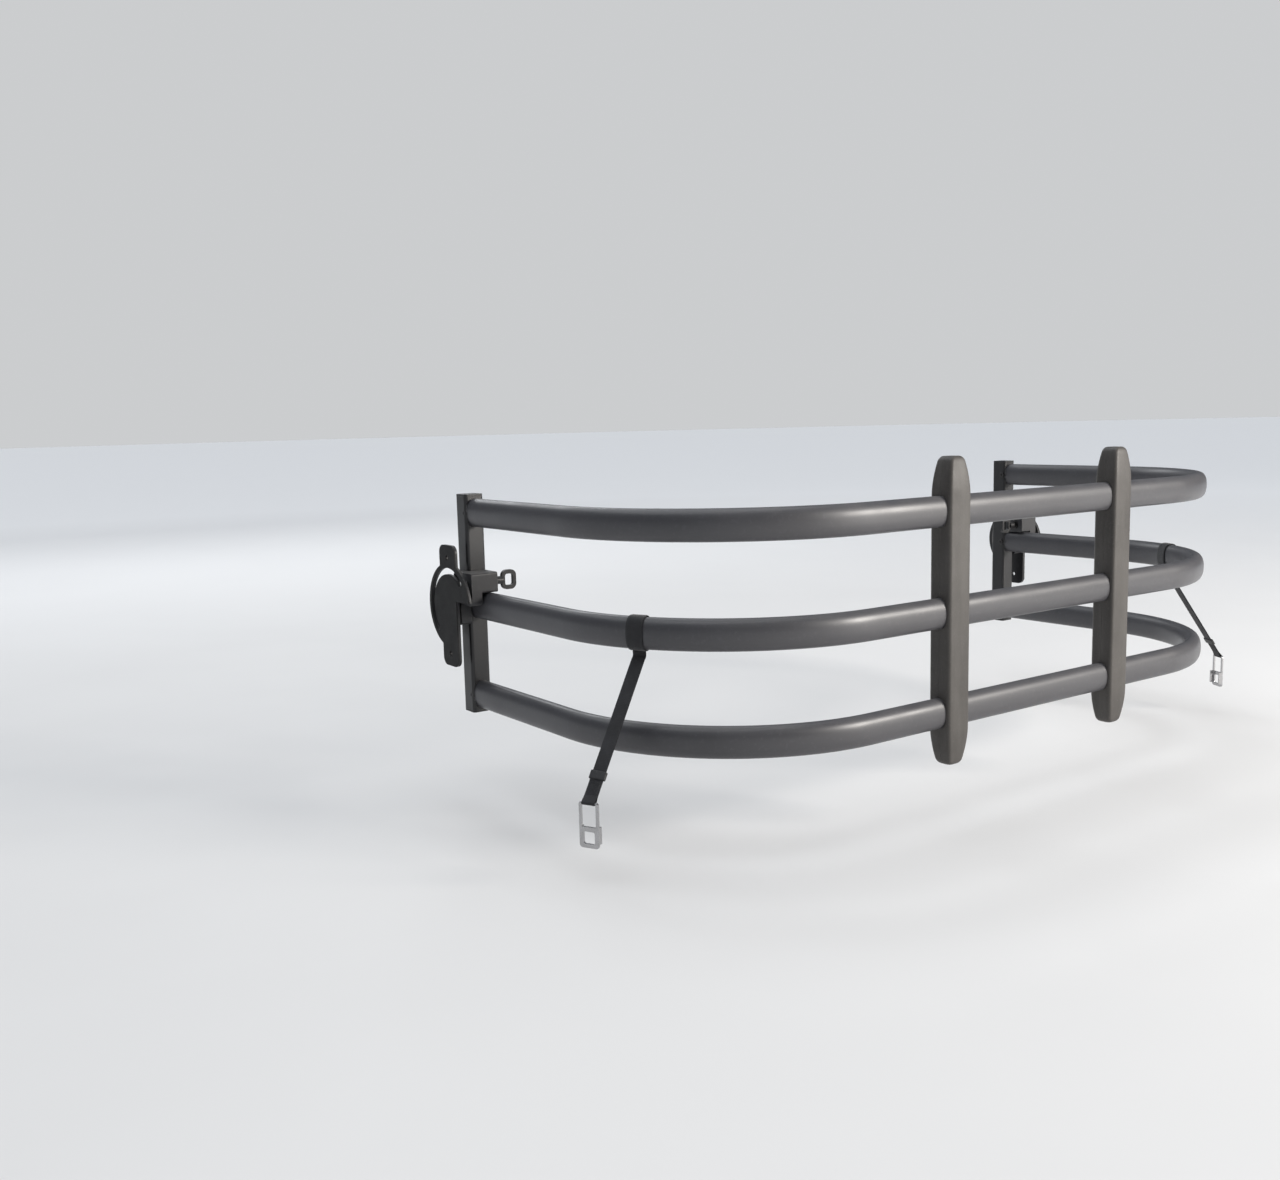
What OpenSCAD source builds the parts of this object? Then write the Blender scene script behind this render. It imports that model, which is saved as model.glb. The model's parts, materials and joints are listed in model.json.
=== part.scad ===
// Flip-over bed extender for a pick-up: three U-shaped tubes between two end posts,
// clamped together by two uprights, turning on studs at the middle of the end posts.
// +X is the truck's right, +Y is forward towards the cab, +Z is up.
// The origin is on the pivot line, midway between the end posts.

/* [Frame tubes] */
// Height from one tube to the next
tube_pitch = 160; // [150:1:162]
// Tube height
tube_h = 49; // [44:1:50]
// Tube depth, across its narrow way
tube_d = 30; // [28:1:30]
// Tube wall thickness
tube_wall = 2.5; // [1.5:0.5:4]
// Distance between the centre lines of the two end posts
span = 1434; // [1300:2:1500]
// Distance from the pivot line back to the rear tubes' centre line
reach = 638; // [560:2:700]
// Corner bend radius at the tube's centre line
bend_r = 328; // [290:2:340]

/* [End posts] */
// Post width, across the truck
post_w = 36; // [36:1:38]
// Post depth, along the truck
post_d = 36; // [36:1:42]
// Post height, caps included
post_h = 384; // [384:2:400]
// Post wall thickness
post_wall = 3; // [2.5:0.5:3]

/* [Uprights] */
// Distance of each upright from the middle
upright_x = 212; // [150:2:240]
// Upright width, across the truck
upright_w = 50; // [44:1:54]
// Upright depth, along the truck
upright_d = 42; // [42:1:50]
// Upright height
upright_h = 490; // [484:2:520]
// Height of each tapered end
upright_taper = 62; // [56:1:64]
// Width lost on each side at the very end of the taper
taper_side = 10; // [5:0.5:11]
// Depth lost on each side at the very end of the taper
taper_face = 7; // [4:0.5:8]
// Chamfer along the upright's long edges
upright_chamfer = 3; // [1:0.5:4]
// Wall of the hollow upright shells
upright_wall = 4; // [3:0.5:4.5]

/* [Pivots and brackets] */
// Pivot stud radius
stud_r = 8; // [7:0.5:8]
// Width across the pivot stud's flats
stud_flats = 11.8; // [10:0.1:12]
// Thickness of the pivot casting outside the post
casting_t = 19; // [17:1:19]
// Bracket plate thickness
plate_t = 5; // [4:0.5:6]
// Height of the bracket's upright flange
flange_h = 212; // [200:2:230]
// Width of the bracket's upright flange
flange_w = 56; // [50:2:60]
// Distance between the two bracket bolt holes
bolt_spacing = 168; // [160:2:176]
// Radius of the bracket bolt holes
bolt_hole_r = 4.5; // [3.5:0.5:5.5]
// Gasket thickness
gasket_t = 2; // [1:0.5:3]

/* [Latch] */
// Latch pin radius
pin_r = 5; // [4:0.5:5]
// Latch pin's distance behind the pivot line
pin_back = 44; // [44:1:45]
// Latch pin's height over the pivot line
pin_up = 42; // [41:1:42]

/* [Straps] */
// Angle along the corner bend where the strap loops round the middle tube
strap_angle = 26; // [20:0.5:45]
// Webbing width
web_w = 22; // [20:1:23]
// Thickness of the doubled webbing
web_t = 2.5; // [2:0.1:3]
// Lean of the strap away from the tubes
strap_lean = 35.5; // [10:0.5:45]
// Distance the strap runs forward
strap_run = 14; // [5:1:60]
// Distance the strap runs down
strap_drop = 233; // [200:1:260]
// How far the clip hangs back from the strap's own plane
clip_turn = 35.5; // [10:0.5:45]
// Clip width
clip_w = 32; // [31:0.5:34]
// Clip plate thickness
clip_t = 3; // [2:0.5:3]

/* [Hidden] */
$fn = 64;
BEND_FN = 128;

LEFT = -1;
RIGHT = 1;
BACK = [90, 0, 0];       // turns an extrusion to run along -Y, with its drawing in X and Z
ACROSS = [90, 0, 90];    // turns an extrusion to run along +X, with its drawing in Y and Z
GAP = 0.3;               // ordinary clearance between neighbours
FIT = 0.05;              // radial running clearance of a pin in its bore
EPS = 1;                 // overrun of a cutter past a face

post_x = span / 2;
post_in = post_x - post_w / 2;
post_out = post_x + post_w / 2;
post_cap_t = 4;
post_corner = 6;
post_tube_h = post_h - 2 * post_cap_t;
plug_h = 12;
bend_x = post_x - bend_r;
bend_y = bend_r - reach;
tube_levels = [-tube_pitch, 0, tube_pitch];
tube_end = -3;           // the tubes stop here inside the posts
bolt_back = 11;          // distance of the tube bolts behind the pivot line
bolt_r = 3;
bolt_head_r = 6;
bolt_head_h = 3.5;
bolt_tip_gap = 0.5;

casting_face = post_out + casting_t;
hub_half_w = 24;
hub_half_h = 33;
lug_front = -post_d / 2 - GAP;
lug_back = pin_back + 22;
lug_low = tube_h / 2 + 0.5;
lug_high = pin_up + 18;
lug_in = post_in + 5;
casting_corner = 8;
slot_w = stud_flats + 0.6;
casting_screw_y = 6;
casting_screw_z = 23;
casting_screw_r = 2.5;
casting_head_r = 4.6;
casting_head_h = 3;

washer_gap = 0.3;
washer_t = 1.4;
stud_flange_in = casting_face + 2 * washer_gap + washer_t;
stud_flange_t = 3;
stud_flange_r = 13;
stud_reach = 2;          // gap between the stud's end and the post
spigot_r = 7;
plate_in = stud_flange_in + stud_flange_t;
plate_out = plate_in + plate_t;
gasket_out = plate_out + gasket_t;
disc_margin = 7.6;
slot_play = 0.6;
pin_orbit = norm([pin_back, pin_up]);
pin_angle = atan2(pin_up, -pin_back);
disc_r = pin_orbit + pin_r + slot_play + disc_margin;
flange_corner = 14;

cavity_r = 8.3;
cavity_end = casting_face - 12;
bushing_depth = 6;
bushing_flange_t = 3;
bushing_flange_r = 10.5;
pin_tip = plate_out - 1;
collar_r = 7.9;
collar_t = 2.5;
knob_neck_gap = 4;
knob_neck_r = 7;
knob_neck_l = 13;
knob_ring = [28, 34];
knob_hole = [16, 20];
knob_t = 7;
knob_corner = 10;
pin_grip = 9;            // length of pin held inside the knob

upright_screw_r = 2;
upright_head_r = 4.5;
upright_head_h = 3;
upright_boss_r = 6;
upright_screw_levels = [-207, -80, 80, 207];
collar_wall = 6;         // solid left round each tube inside an upright

loop_w = 27;
loop_gap = 0.3;
loop_t = 2.8;
loop_bottom = tube_h / 2 + loop_gap + loop_t;
tab_t = 2.4;
tab_l = 3.6;
fold_gap = 3;            // from the tab's end to the line where the strap folds
fold_z = -(loop_bottom + tab_l + fold_gap);
web_slant = atan2(strap_run, strap_drop);
web_half = web_w / 2 / cos(web_slant);
bar_r = 2;
eye_r = 2.5;
eye_wall = 2;
slider_at = 0.82;
slider_size = [5.4, 26.6, 13];
slider_slot = [3.2, web_w + 1.4];
window_w = web_w + 1.4;
clip_len = 68;
clip_corner = 5;
upper_window = 35;       // from the bar's axis down to the clip's middle rail
middle_rail = 7;
striker_window = [18.4, 18];
flange_depth = 7;
flange_wall = 2.5;

// ---------- shared outlines and placing ----------

module on_side(side) {
    mirror([side < 0 ? 1 : 0, 0, 0]) children();
}

module rounded_rect(w, h, r) {
    square([w - 2 * r, h], center = true);
    square([w, h - 2 * r], center = true);
    for (sx = [-1, 1], sy = [-1, 1])
        translate([sx * (w / 2 - r), sy * (h / 2 - r)]) circle(r = r);
}

module oval(h, d) {
    square([d, h - d], center = true);
    for (s = [-1, 1])
        translate([0, s * (h - d) / 2]) circle(d = d);
}

module oval_ring(grow_in, grow_out) {
    difference() {
        oval(tube_h + 2 * grow_out, tube_d + 2 * grow_out);
        oval(tube_h + 2 * grow_in, tube_d + 2 * grow_in);
    }
}

// A plate or bar drawn in Y and Z that runs across the truck from x0 to x1
module across(x0, x1) {
    translate([x0, 0, 0]) rotate(ACROSS) linear_extrude(x1 - x0) children();
}

module across_rod(x0, x1, y, z, r) {
    across(x0, x1) translate([y, z]) circle(r = r);
}

// ---------- tubes ----------

module tube_wall_2d() {
    oval_ring(-tube_wall, 0);
}

module tube_side(side) {
    on_side(side) {
        translate([post_x, tube_end, 0])
            rotate(BACK) linear_extrude(tube_end - bend_y) tube_wall_2d();
        translate([bend_x, bend_y, 0]) rotate([0, 0, -90])
            rotate_extrude(angle = 90, $fn = BEND_FN) translate([bend_r, 0]) tube_wall_2d();
    }
}

module u_tube(level) {
    translate([0, 0, level * tube_pitch]) difference() {
        union() {
            tube_side(LEFT);
            tube_side(RIGHT);
            translate([0, -reach, 0]) across(-bend_x, bend_x) tube_wall_2d();
        }
        for (side = [LEFT, RIGHT])
            on_side(side) across_rod(post_in - EPS, post_out + EPS, -bolt_back, 0, bolt_r + GAP);
    }
}

module top_tube() {
    color("dimgray") u_tube(1);
}

module middle_tube() {
    color("dimgray") u_tube(0);
}

module bottom_tube() {
    color("dimgray") u_tube(-1);
}

// ---------- end posts ----------

module end_post(side) {
    color([0.13, 0.13, 0.14]) on_side(side) difference() {
        translate([post_x, 0, -post_tube_h / 2]) linear_extrude(post_tube_h) difference() {
            rounded_rect(post_w, post_d, post_corner);
            rounded_rect(post_w - 2 * post_wall, post_d - 2 * post_wall, post_corner - post_wall);
        }
        for (z = tube_levels) {
            translate([post_x, -post_d / 2 + post_corner + EPS, z])
                rotate(BACK) linear_extrude(post_corner + 2 * EPS) oval(tube_h + 2 * GAP, tube_d);
            across_rod(post_in - EPS, post_x, -bolt_back, z, bolt_r + GAP);
            across_rod(post_x, post_out + EPS, -bolt_back, z, bolt_r + FIT);
        }
        for (z = [-casting_screw_z, casting_screw_z])
            across_rod(post_x, post_out + EPS, casting_screw_y, z, casting_screw_r + FIT);
    }
}

// The plug fills the part of the post in front of the tube's end
module post_cap(side, up) {
    plug_back = tube_end + 1.5;
    plug_front = post_d / 2 - post_wall - GAP;
    color([0.1, 0.1, 0.1]) on_side(side) mirror([0, 0, up ? 0 : 1])
        translate([post_x, 0, post_tube_h / 2]) {
            linear_extrude(post_cap_t) rounded_rect(post_w, post_d, post_corner);
            translate([0, (plug_back + plug_front) / 2, -plug_h]) linear_extrude(plug_h)
                rounded_rect(post_w - 2 * post_wall - 2 * GAP, plug_front - plug_back, 2.5);
        }
}

module tube_bolts(side) {
    color("silver") on_side(side) for (z = tube_levels) {
        across_rod(post_in, post_out - bolt_tip_gap, -bolt_back, z, bolt_r);
        difference() {
            across_rod(post_in - bolt_head_h, post_in, -bolt_back, z, bolt_head_r);
            across(post_in - bolt_head_h - EPS, post_in - bolt_head_h + 2)
                translate([-bolt_back, z]) circle(r = 2.3, $fn = 6);
        }
    }
}

// ---------- pivot casting ----------

module casting_plate_2d() {
    rounded_rect(2 * hub_half_w, 2 * hub_half_h, casting_corner);
    translate([-(lug_back + hub_half_w) / 2 + hub_half_w / 2, (lug_high + 4) / 2])
        rounded_rect(lug_back, lug_high - 4, casting_corner);
}

module lug_2d() {
    translate([(lug_front - lug_back) / 2, (lug_low + lug_high) / 2])
        rounded_rect(lug_back + lug_front, lug_high - lug_low, 4);
}

module pivot_casting(side) {
    color([0.16, 0.16, 0.17]) on_side(side) difference() {
        union() {
            across(post_out, casting_face) casting_plate_2d();
            across(lug_in, casting_face) lug_2d();
        }
        across_rod(post_out - EPS, casting_face + EPS, 0, 0, stud_r + FIT);
        across(post_out - EPS, casting_face + EPS)
            translate([0, -slot_w / 2]) square([hub_half_w + EPS, slot_w]);
        across_rod(cavity_end - EPS, casting_face + EPS, -pin_back, pin_up, pin_r + FIT);
        across_rod(lug_in - EPS, cavity_end, -pin_back, pin_up, cavity_r);
        for (z = [-casting_screw_z, casting_screw_z]) {
            across_rod(post_out - EPS, casting_face, casting_screw_y, z, casting_screw_r + GAP);
            across_rod(casting_face - casting_head_h - 0.5, casting_face + EPS,
                casting_screw_y, z, casting_head_r + GAP);
        }
    }
}

module casting_screws(side) {
    head_in = casting_face - casting_head_h - 0.5;
    color("silver") on_side(side) for (z = [-casting_screw_z, casting_screw_z]) {
        across_rod(post_out - 8, head_in, casting_screw_y, z, casting_screw_r);
        difference() {
            across_rod(head_in, head_in + casting_head_h, casting_screw_y, z, casting_head_r);
            across(head_in + 1, casting_face + EPS)
                translate([casting_screw_y, z]) circle(r = 2, $fn = 6);
        }
    }
}

// ---------- studs, washers and brackets, fixed to the truck ----------

module pivot_stud(side) {
    color("silver") on_side(side) {
        intersection() {
            across_rod(post_out + stud_reach, stud_flange_in, 0, 0, stud_r);
            across(post_out, plate_in) square([stud_flats, 3 * stud_r], center = true);
        }
        across_rod(stud_flange_in, plate_in, 0, 0, stud_flange_r);
        across_rod(plate_in, plate_out - 0.2, 0, 0, spigot_r);
    }
}

module thrust_washer(side) {
    color("white") on_side(side)
        across(casting_face + washer_gap, casting_face + washer_gap + washer_t) difference() {
            circle(r = stud_flange_r);
            circle(r = stud_r + GAP);
        }
}

// The pin's path while the frame flips is half a circle round the stud
module pin_path_2d() {
    slot_r = pin_r + slot_play;
    difference() {
        circle(r = pin_orbit + slot_r);
        circle(r = pin_orbit - slot_r);
        rotate(pin_angle) translate([-2 * disc_r, 0]) square([4 * disc_r, 2 * disc_r]);
    }
    for (turn = [0, 180])
        rotate(pin_angle + turn) translate([pin_orbit, 0]) circle(r = slot_r);
}

// A round plate over the pin's path, without its lower back corner, on an upright flange
module bracket_outline_2d() {
    difference() {
        circle(r = disc_r);
        translate([-2 * disc_r, -2 * disc_r]) square([2 * disc_r, 2 * disc_r + 10]);
    }
    rounded_rect(flange_w, flange_h, flange_corner);
}

module bracket(side) {
    color([0.12, 0.12, 0.12]) on_side(side) across(plate_in, plate_out) difference() {
        bracket_outline_2d();
        circle(r = spigot_r + 0.02);
        pin_path_2d();
        for (z = [-bolt_spacing / 2, bolt_spacing / 2])
            translate([0, z]) circle(r = bolt_hole_r);
    }
}

module bracket_gasket(side) {
    color([0.05, 0.05, 0.05]) on_side(side) across(plate_out, gasket_out) difference() {
        bracket_outline_2d();
        pin_path_2d();
        for (z = [-bolt_spacing / 2, bolt_spacing / 2])
            translate([0, z]) circle(r = bolt_hole_r);
    }
}

// ---------- latch ----------

module latch_bushing(side) {
    color("goldenrod") on_side(side) difference() {
        union() {
            across_rod(lug_in - bushing_flange_t, lug_in, -pin_back, pin_up, bushing_flange_r);
            across_rod(lug_in, lug_in + bushing_depth, -pin_back, pin_up, cavity_r - FIT);
        }
        across_rod(lug_in - 2 * bushing_flange_t, lug_in + 2 * bushing_depth,
            -pin_back, pin_up, pin_r + FIT);
    }
}

// A sleeve of the coil spring's size
module latch_spring(side) {
    color("silver") on_side(side)
        across(lug_in + bushing_depth + 0.5, cavity_end - collar_t - 1)
            translate([-pin_back, pin_up]) difference() {
                circle(r = cavity_r - 0.7);
                circle(r = pin_r + 0.6);
            }
}

module latch_pin(side) {
    color("silver") on_side(side) {
        across_rod(lug_in - bushing_flange_t - knob_neck_gap - pin_grip, pin_tip,
            -pin_back, pin_up, pin_r);
        across_rod(cavity_end - collar_t - 0.3, cavity_end - 0.3, -pin_back, pin_up, collar_r);
    }
}

module latch_knob(side) {
    neck_out = lug_in - bushing_flange_t - knob_neck_gap;
    color([0.08, 0.08, 0.08]) on_side(side) difference() {
        union() {
            across_rod(neck_out - knob_neck_l, neck_out, -pin_back, pin_up, knob_neck_r);
            translate([neck_out - knob_neck_l + 1 - knob_ring[0] / 2, -pin_back + knob_t / 2, pin_up])
                rotate(BACK) linear_extrude(knob_t) difference() {
                    rounded_rect(knob_ring[0], knob_ring[1], knob_corner);
                    rounded_rect(knob_hole[0], knob_hole[1], knob_corner - 6);
                }
        }
        across_rod(neck_out - pin_grip - 0.1, neck_out + EPS, -pin_back, pin_up, pin_r + 0.02);
    }
}

// ---------- uprights ----------

// How far a tapered end has drawn in, as [share of its height, share of the width lost]
TAPER = [[0, 0], [0.35, 0.16], [0.65, 0.45], [0.88, 0.78], [0.96, 1], [1, 1.35]];

// Outline of one view of an upright: straight in the middle, drawn in at both ends
function taper_outline(half, cut, top) = let (
    upper = [for (t = TAPER) [half - t[1] * cut, top - (1 - t[0]) * upright_taper]],
    left = [for (i = [len(upper) - 1:-1:0]) [-upper[i][0], upper[i][1]]],
    across_top = concat(upper, left)
) concat(across_top, [for (p = across_top) [-p[0], -p[1]]]);

module upright_block() {
    top = upright_h / 2;
    x = upright_w / 2;
    y = upright_d / 2;
    c = upright_chamfer;
    intersection() {
        translate([0, y, 0]) rotate(BACK) linear_extrude(upright_d)
            polygon(taper_outline(x, taper_side, top));
        across(-x, x) polygon(taper_outline(y, taper_face, top));
        translate([0, 0, -top]) linear_extrude(upright_h) polygon([
            [x - c, -y], [x, c - y], [x, y - c], [x - c, y],
            [c - x, y], [-x, y - c], [-x, c - y], [c - x, -y]
        ]);
    }
}

// One hollow half: face is -1 for the rear shell and 1 for the front one
module upright_shell(face) {
    pocket_low = tube_h / 2 + collar_wall;
    pocket_w = upright_w - 2 * upright_wall;
    pocket_d = upright_d / 2 - upright_wall;
    difference() {
        intersection() {
            upright_block();
            translate([-upright_w, face > 0 ? 0.1 : -upright_d - 0.1, -upright_h])
                cube([2 * upright_w, upright_d, 2 * upright_h]);
        }
        for (z = tube_levels)
            translate([0, 0, z]) across(-upright_w, upright_w)
                oval(tube_h + 2 * GAP, tube_d + 2 * GAP);
        for (z = [pocket_low - tube_pitch, pocket_low])
            translate([-pocket_w / 2, face > 0 ? -EPS : -pocket_d, z]) difference() {
                cube([pocket_w, pocket_d + EPS, tube_pitch - 2 * pocket_low]);
                translate([pocket_w / 2, -EPS, (tube_pitch - 2 * pocket_low) / 2])
                    rotate([-90, 0, 0]) cylinder(r = upright_boss_r, h = pocket_d + 3 * EPS);
            }
        for (z = upright_screw_levels) {
            translate([0, face > 0 ? upright_d : EPS, z]) rotate(BACK)
                cylinder(r = upright_screw_r + (face > 0 ? GAP : FIT),
                    h = face > 0 ? upright_d + EPS : blind_end(z) + EPS);
            translate([0, upright_d, z]) rotate(BACK)
                cylinder(r = upright_head_r + GAP, h = upright_d - head_top(z) + upright_head_h);
        }
    }
}

// How far the tapered face lies inside the straight one at a height
function face_loss(z) = taper_face * max(0, abs(z) - upright_h / 2 + upright_taper) / upright_taper;

// Distance of a screw head's top, and of its hole's blind end, from the tubes' centre line
function head_top(z) = upright_d / 2 - face_loss(z) - 1;
function blind_end(z) = upright_d / 2 - face_loss(z) - upright_wall;

module place_upright(side) {
    translate([side * upright_x, -reach, 0]) children();
}

module upright_rear(side) {
    color([0.32, 0.32, 0.31]) place_upright(side) upright_shell(-1);
}

module upright_front(side) {
    color([0.28, 0.28, 0.27]) place_upright(side) upright_shell(1);
}

module upright_screws(side) {
    color("silver") place_upright(side) for (z = upright_screw_levels) {
        shank_top = head_top(z) - upright_head_h;
        difference() {
            union() {
                translate([0, head_top(z), z]) rotate(BACK)
                    cylinder(r = upright_head_r, h = upright_head_h);
                translate([0, shank_top, z]) rotate(BACK)
                    cylinder(r = upright_screw_r, h = shank_top + blind_end(z) - 1);
            }
            translate([0, head_top(z) + EPS, z]) rotate(BACK)
                cylinder(r = 2, h = EPS + 1.5, $fn = 6);
        }
    }
}

// ---------- straps and clips ----------

// The place on the corner bend where a strap hangs: X outward from the bend,
// Y forward along the tube, Z up
module at_strap(side) {
    on_side(side)
        translate([bend_x + bend_r * cos(strap_angle), bend_y - bend_r * sin(strap_angle), 0])
            rotate([0, 0, -strap_angle]) children();
}

// The strap's own plane: X out of the webbing, Y forward, Z up, from the fold line
module in_strap_plane(side) {
    at_strap(side) translate([0, 0, fold_z]) rotate([0, -strap_lean, 0]) children();
}

module at_clip(side) {
    in_strap_plane(side) translate([0, strap_run, -strap_drop])
        rotate([0, clip_turn, 0]) children();
}

module strap_loop(side) {
    turn = loop_w / bend_r * 180 / PI;
    color([0.06, 0.06, 0.07]) at_strap(side) {
        translate([-bend_r, 0, 0]) rotate([0, 0, -turn / 2])
            rotate_extrude(angle = turn, $fn = BEND_FN)
                translate([bend_r, 0]) oval_ring(loop_gap, loop_gap + loop_t);
        translate([-tab_t / 2, -web_half, -loop_bottom - tab_l])
            cube([tab_t, 2 * web_half, tab_l + 1]);
    }
}

module strap_web(side) {
    end = [strap_run, -strap_drop];
    color([0.06, 0.06, 0.07]) in_strap_plane(side) difference() {
        union() {
            translate([-web_t / 2, 0, 0]) rotate(ACROSS) linear_extrude(web_t) polygon([
                [-web_half, 0], end - [web_w / 2, 0], end + [web_w / 2, 0], [web_half, 0]
            ]);
            translate([0, web_half, 0]) rotate(BACK) cylinder(r = web_t / 2, h = 2 * web_half);
            translate([0, strap_run + web_w / 2, -strap_drop]) rotate(BACK)
                cylinder(r = eye_r + eye_wall, h = web_w);
        }
        translate([0, strap_run + web_w, -strap_drop]) rotate(BACK)
            cylinder(r = eye_r, h = 2 * web_w);
    }
}

module strap_slider(side) {
    color([0.12, 0.12, 0.12]) in_strap_plane(side)
        translate([0, slider_at * strap_run, -slider_at * strap_drop]) rotate([web_slant, 0, 0])
            translate([0, 0, -slider_size[2] / 2]) linear_extrude(slider_size[2]) difference() {
                rounded_rect(slider_size[0], slider_size[1], 1.5);
                square(slider_slot, center = true);
            }
}

module clip_outline_2d() {
    translate([0, bar_r - clip_len / 2]) rounded_rect(clip_w, clip_len, clip_corner);
}

module strap_clip(side) {
    rail = (clip_w - window_w) / 2;
    low = upper_window + middle_rail;
    color("gainsboro") at_clip(side) {
        translate([-clip_t / 2, 0, 0]) rotate(ACROSS) linear_extrude(clip_t) difference() {
            clip_outline_2d();
            translate([-window_w / 2, -upper_window]) square([window_w, upper_window + 2 * bar_r]);
            translate([0, -low - striker_window[1] / 2])
                rounded_rect(striker_window[0], striker_window[1], 3);
        }
        translate([0, clip_w / 2 - rail / 2, 0]) rotate(BACK)
            cylinder(r = bar_r, h = clip_w - rail);
        for (s = [-1, 1])
            translate([-clip_t / 2 - flange_depth + 1, s * (clip_w - flange_wall) / 2 - flange_wall / 2,
                -low - striker_window[1]])
                cube([flange_depth, flange_wall, striker_window[1] + middle_rail]);
    }
}

bracket(LEFT);  // bracket_left
bracket(RIGHT);  // bracket_right
bracket_gasket(LEFT);  // bracket_gasket_left
bracket_gasket(RIGHT);  // bracket_gasket_right
pivot_stud(LEFT);  // pivot_stud_left
pivot_stud(RIGHT);  // pivot_stud_right
thrust_washer(LEFT);  // thrust_washer_left
thrust_washer(RIGHT);  // thrust_washer_right
top_tube();
middle_tube();
bottom_tube();
end_post(LEFT);  // end_post_left
end_post(RIGHT);  // end_post_right
post_cap(LEFT, true);  // post_cap_top_left
post_cap(RIGHT, true);  // post_cap_top_right
post_cap(LEFT, false);  // post_cap_bottom_left
post_cap(RIGHT, false);  // post_cap_bottom_right
tube_bolts(LEFT);  // tube_bolts_left
tube_bolts(RIGHT);  // tube_bolts_right
pivot_casting(LEFT);  // pivot_casting_left
pivot_casting(RIGHT);  // pivot_casting_right
casting_screws(LEFT);  // casting_screws_left
casting_screws(RIGHT);  // casting_screws_right
latch_bushing(LEFT);  // latch_bushing_left
latch_bushing(RIGHT);  // latch_bushing_right
latch_spring(LEFT);  // latch_spring_left
latch_spring(RIGHT);  // latch_spring_right
upright_rear(LEFT);  // upright_rear_left
upright_rear(RIGHT);  // upright_rear_right
upright_front(LEFT);  // upright_front_left
upright_front(RIGHT);  // upright_front_right
upright_screws(LEFT);  // upright_screws_left
upright_screws(RIGHT);  // upright_screws_right
strap_loop(LEFT);  // strap_loop_left
strap_loop(RIGHT);  // strap_loop_right
latch_pin(LEFT);  // latch_pin_left
latch_pin(RIGHT);  // latch_pin_right
latch_knob(LEFT);  // latch_knob_left
latch_knob(RIGHT);  // latch_knob_right
strap_web(LEFT);  // strap_web_left
strap_web(RIGHT);  // strap_web_right
strap_slider(LEFT);  // strap_slider_left
strap_slider(RIGHT);  // strap_slider_right
strap_clip(LEFT);  // strap_clip_left
strap_clip(RIGHT);  // strap_clip_right
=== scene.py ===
import bpy
import bmesh
import json
import math
from mathutils import Matrix, Vector


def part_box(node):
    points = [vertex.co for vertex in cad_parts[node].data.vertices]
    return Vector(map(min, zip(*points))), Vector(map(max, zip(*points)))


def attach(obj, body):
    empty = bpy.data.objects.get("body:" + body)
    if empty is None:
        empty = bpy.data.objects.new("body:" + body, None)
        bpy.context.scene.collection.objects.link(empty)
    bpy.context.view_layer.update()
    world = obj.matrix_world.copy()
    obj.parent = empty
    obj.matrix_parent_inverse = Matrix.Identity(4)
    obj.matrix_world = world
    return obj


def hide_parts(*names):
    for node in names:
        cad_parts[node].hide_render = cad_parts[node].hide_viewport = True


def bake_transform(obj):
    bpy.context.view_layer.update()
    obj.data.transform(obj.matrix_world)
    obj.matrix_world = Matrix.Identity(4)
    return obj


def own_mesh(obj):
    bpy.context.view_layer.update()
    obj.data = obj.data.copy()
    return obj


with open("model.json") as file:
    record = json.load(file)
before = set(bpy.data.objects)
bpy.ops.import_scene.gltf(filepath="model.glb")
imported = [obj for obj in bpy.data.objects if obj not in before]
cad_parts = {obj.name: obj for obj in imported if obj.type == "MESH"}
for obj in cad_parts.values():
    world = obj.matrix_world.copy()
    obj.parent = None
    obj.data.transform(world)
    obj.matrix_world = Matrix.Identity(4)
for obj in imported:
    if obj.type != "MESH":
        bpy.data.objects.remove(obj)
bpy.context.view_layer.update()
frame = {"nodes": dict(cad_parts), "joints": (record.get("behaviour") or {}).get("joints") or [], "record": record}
SIDES = {"left": -1, "right": 1}
MM = 0.001

# ---------- camera ----------

CAM_TURN, CAM_DOWN, CAM_ROLL = 35.33, 7.81, 1.43        # degrees: right of +Y, down, then rolled
CAM_PLACE = (-1.7435, -1.9542, 0.3158)


def look(yaw, pitch, roll):
    """World axes of a camera turned yaw to the right of +Y, pitch down, then rolled."""
    level = math.cos(pitch)
    ahead = Vector((math.sin(yaw) * level, math.cos(yaw) * level, -math.sin(pitch)))
    right = Vector((math.cos(yaw), -math.sin(yaw), 0))
    down = ahead.cross(right)
    c, s = math.cos(roll), math.sin(roll)
    return c * right + s * down, s * right - c * down, -ahead


cam_data = bpy.data.cameras.new("camera")
cam = bpy.data.objects.new("camera", cam_data)
bpy.context.scene.collection.objects.link(cam)
cam_data.sensor_fit = "HORIZONTAL"
cam_data.sensor_width = 36
cam_data.lens = 35.35
cam_data.clip_start = 0.05
axes = look(math.radians(CAM_TURN), math.radians(CAM_DOWN), math.radians(CAM_ROLL))
cam.matrix_world = Matrix.Translation(CAM_PLACE) @ Matrix(axes).transposed().to_4x4()
bpy.context.scene.camera = cam

# ---------- node helpers ----------


def colour_sockets(sockets):
    return [s for s in sockets if s.type == "RGBA"]


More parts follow.
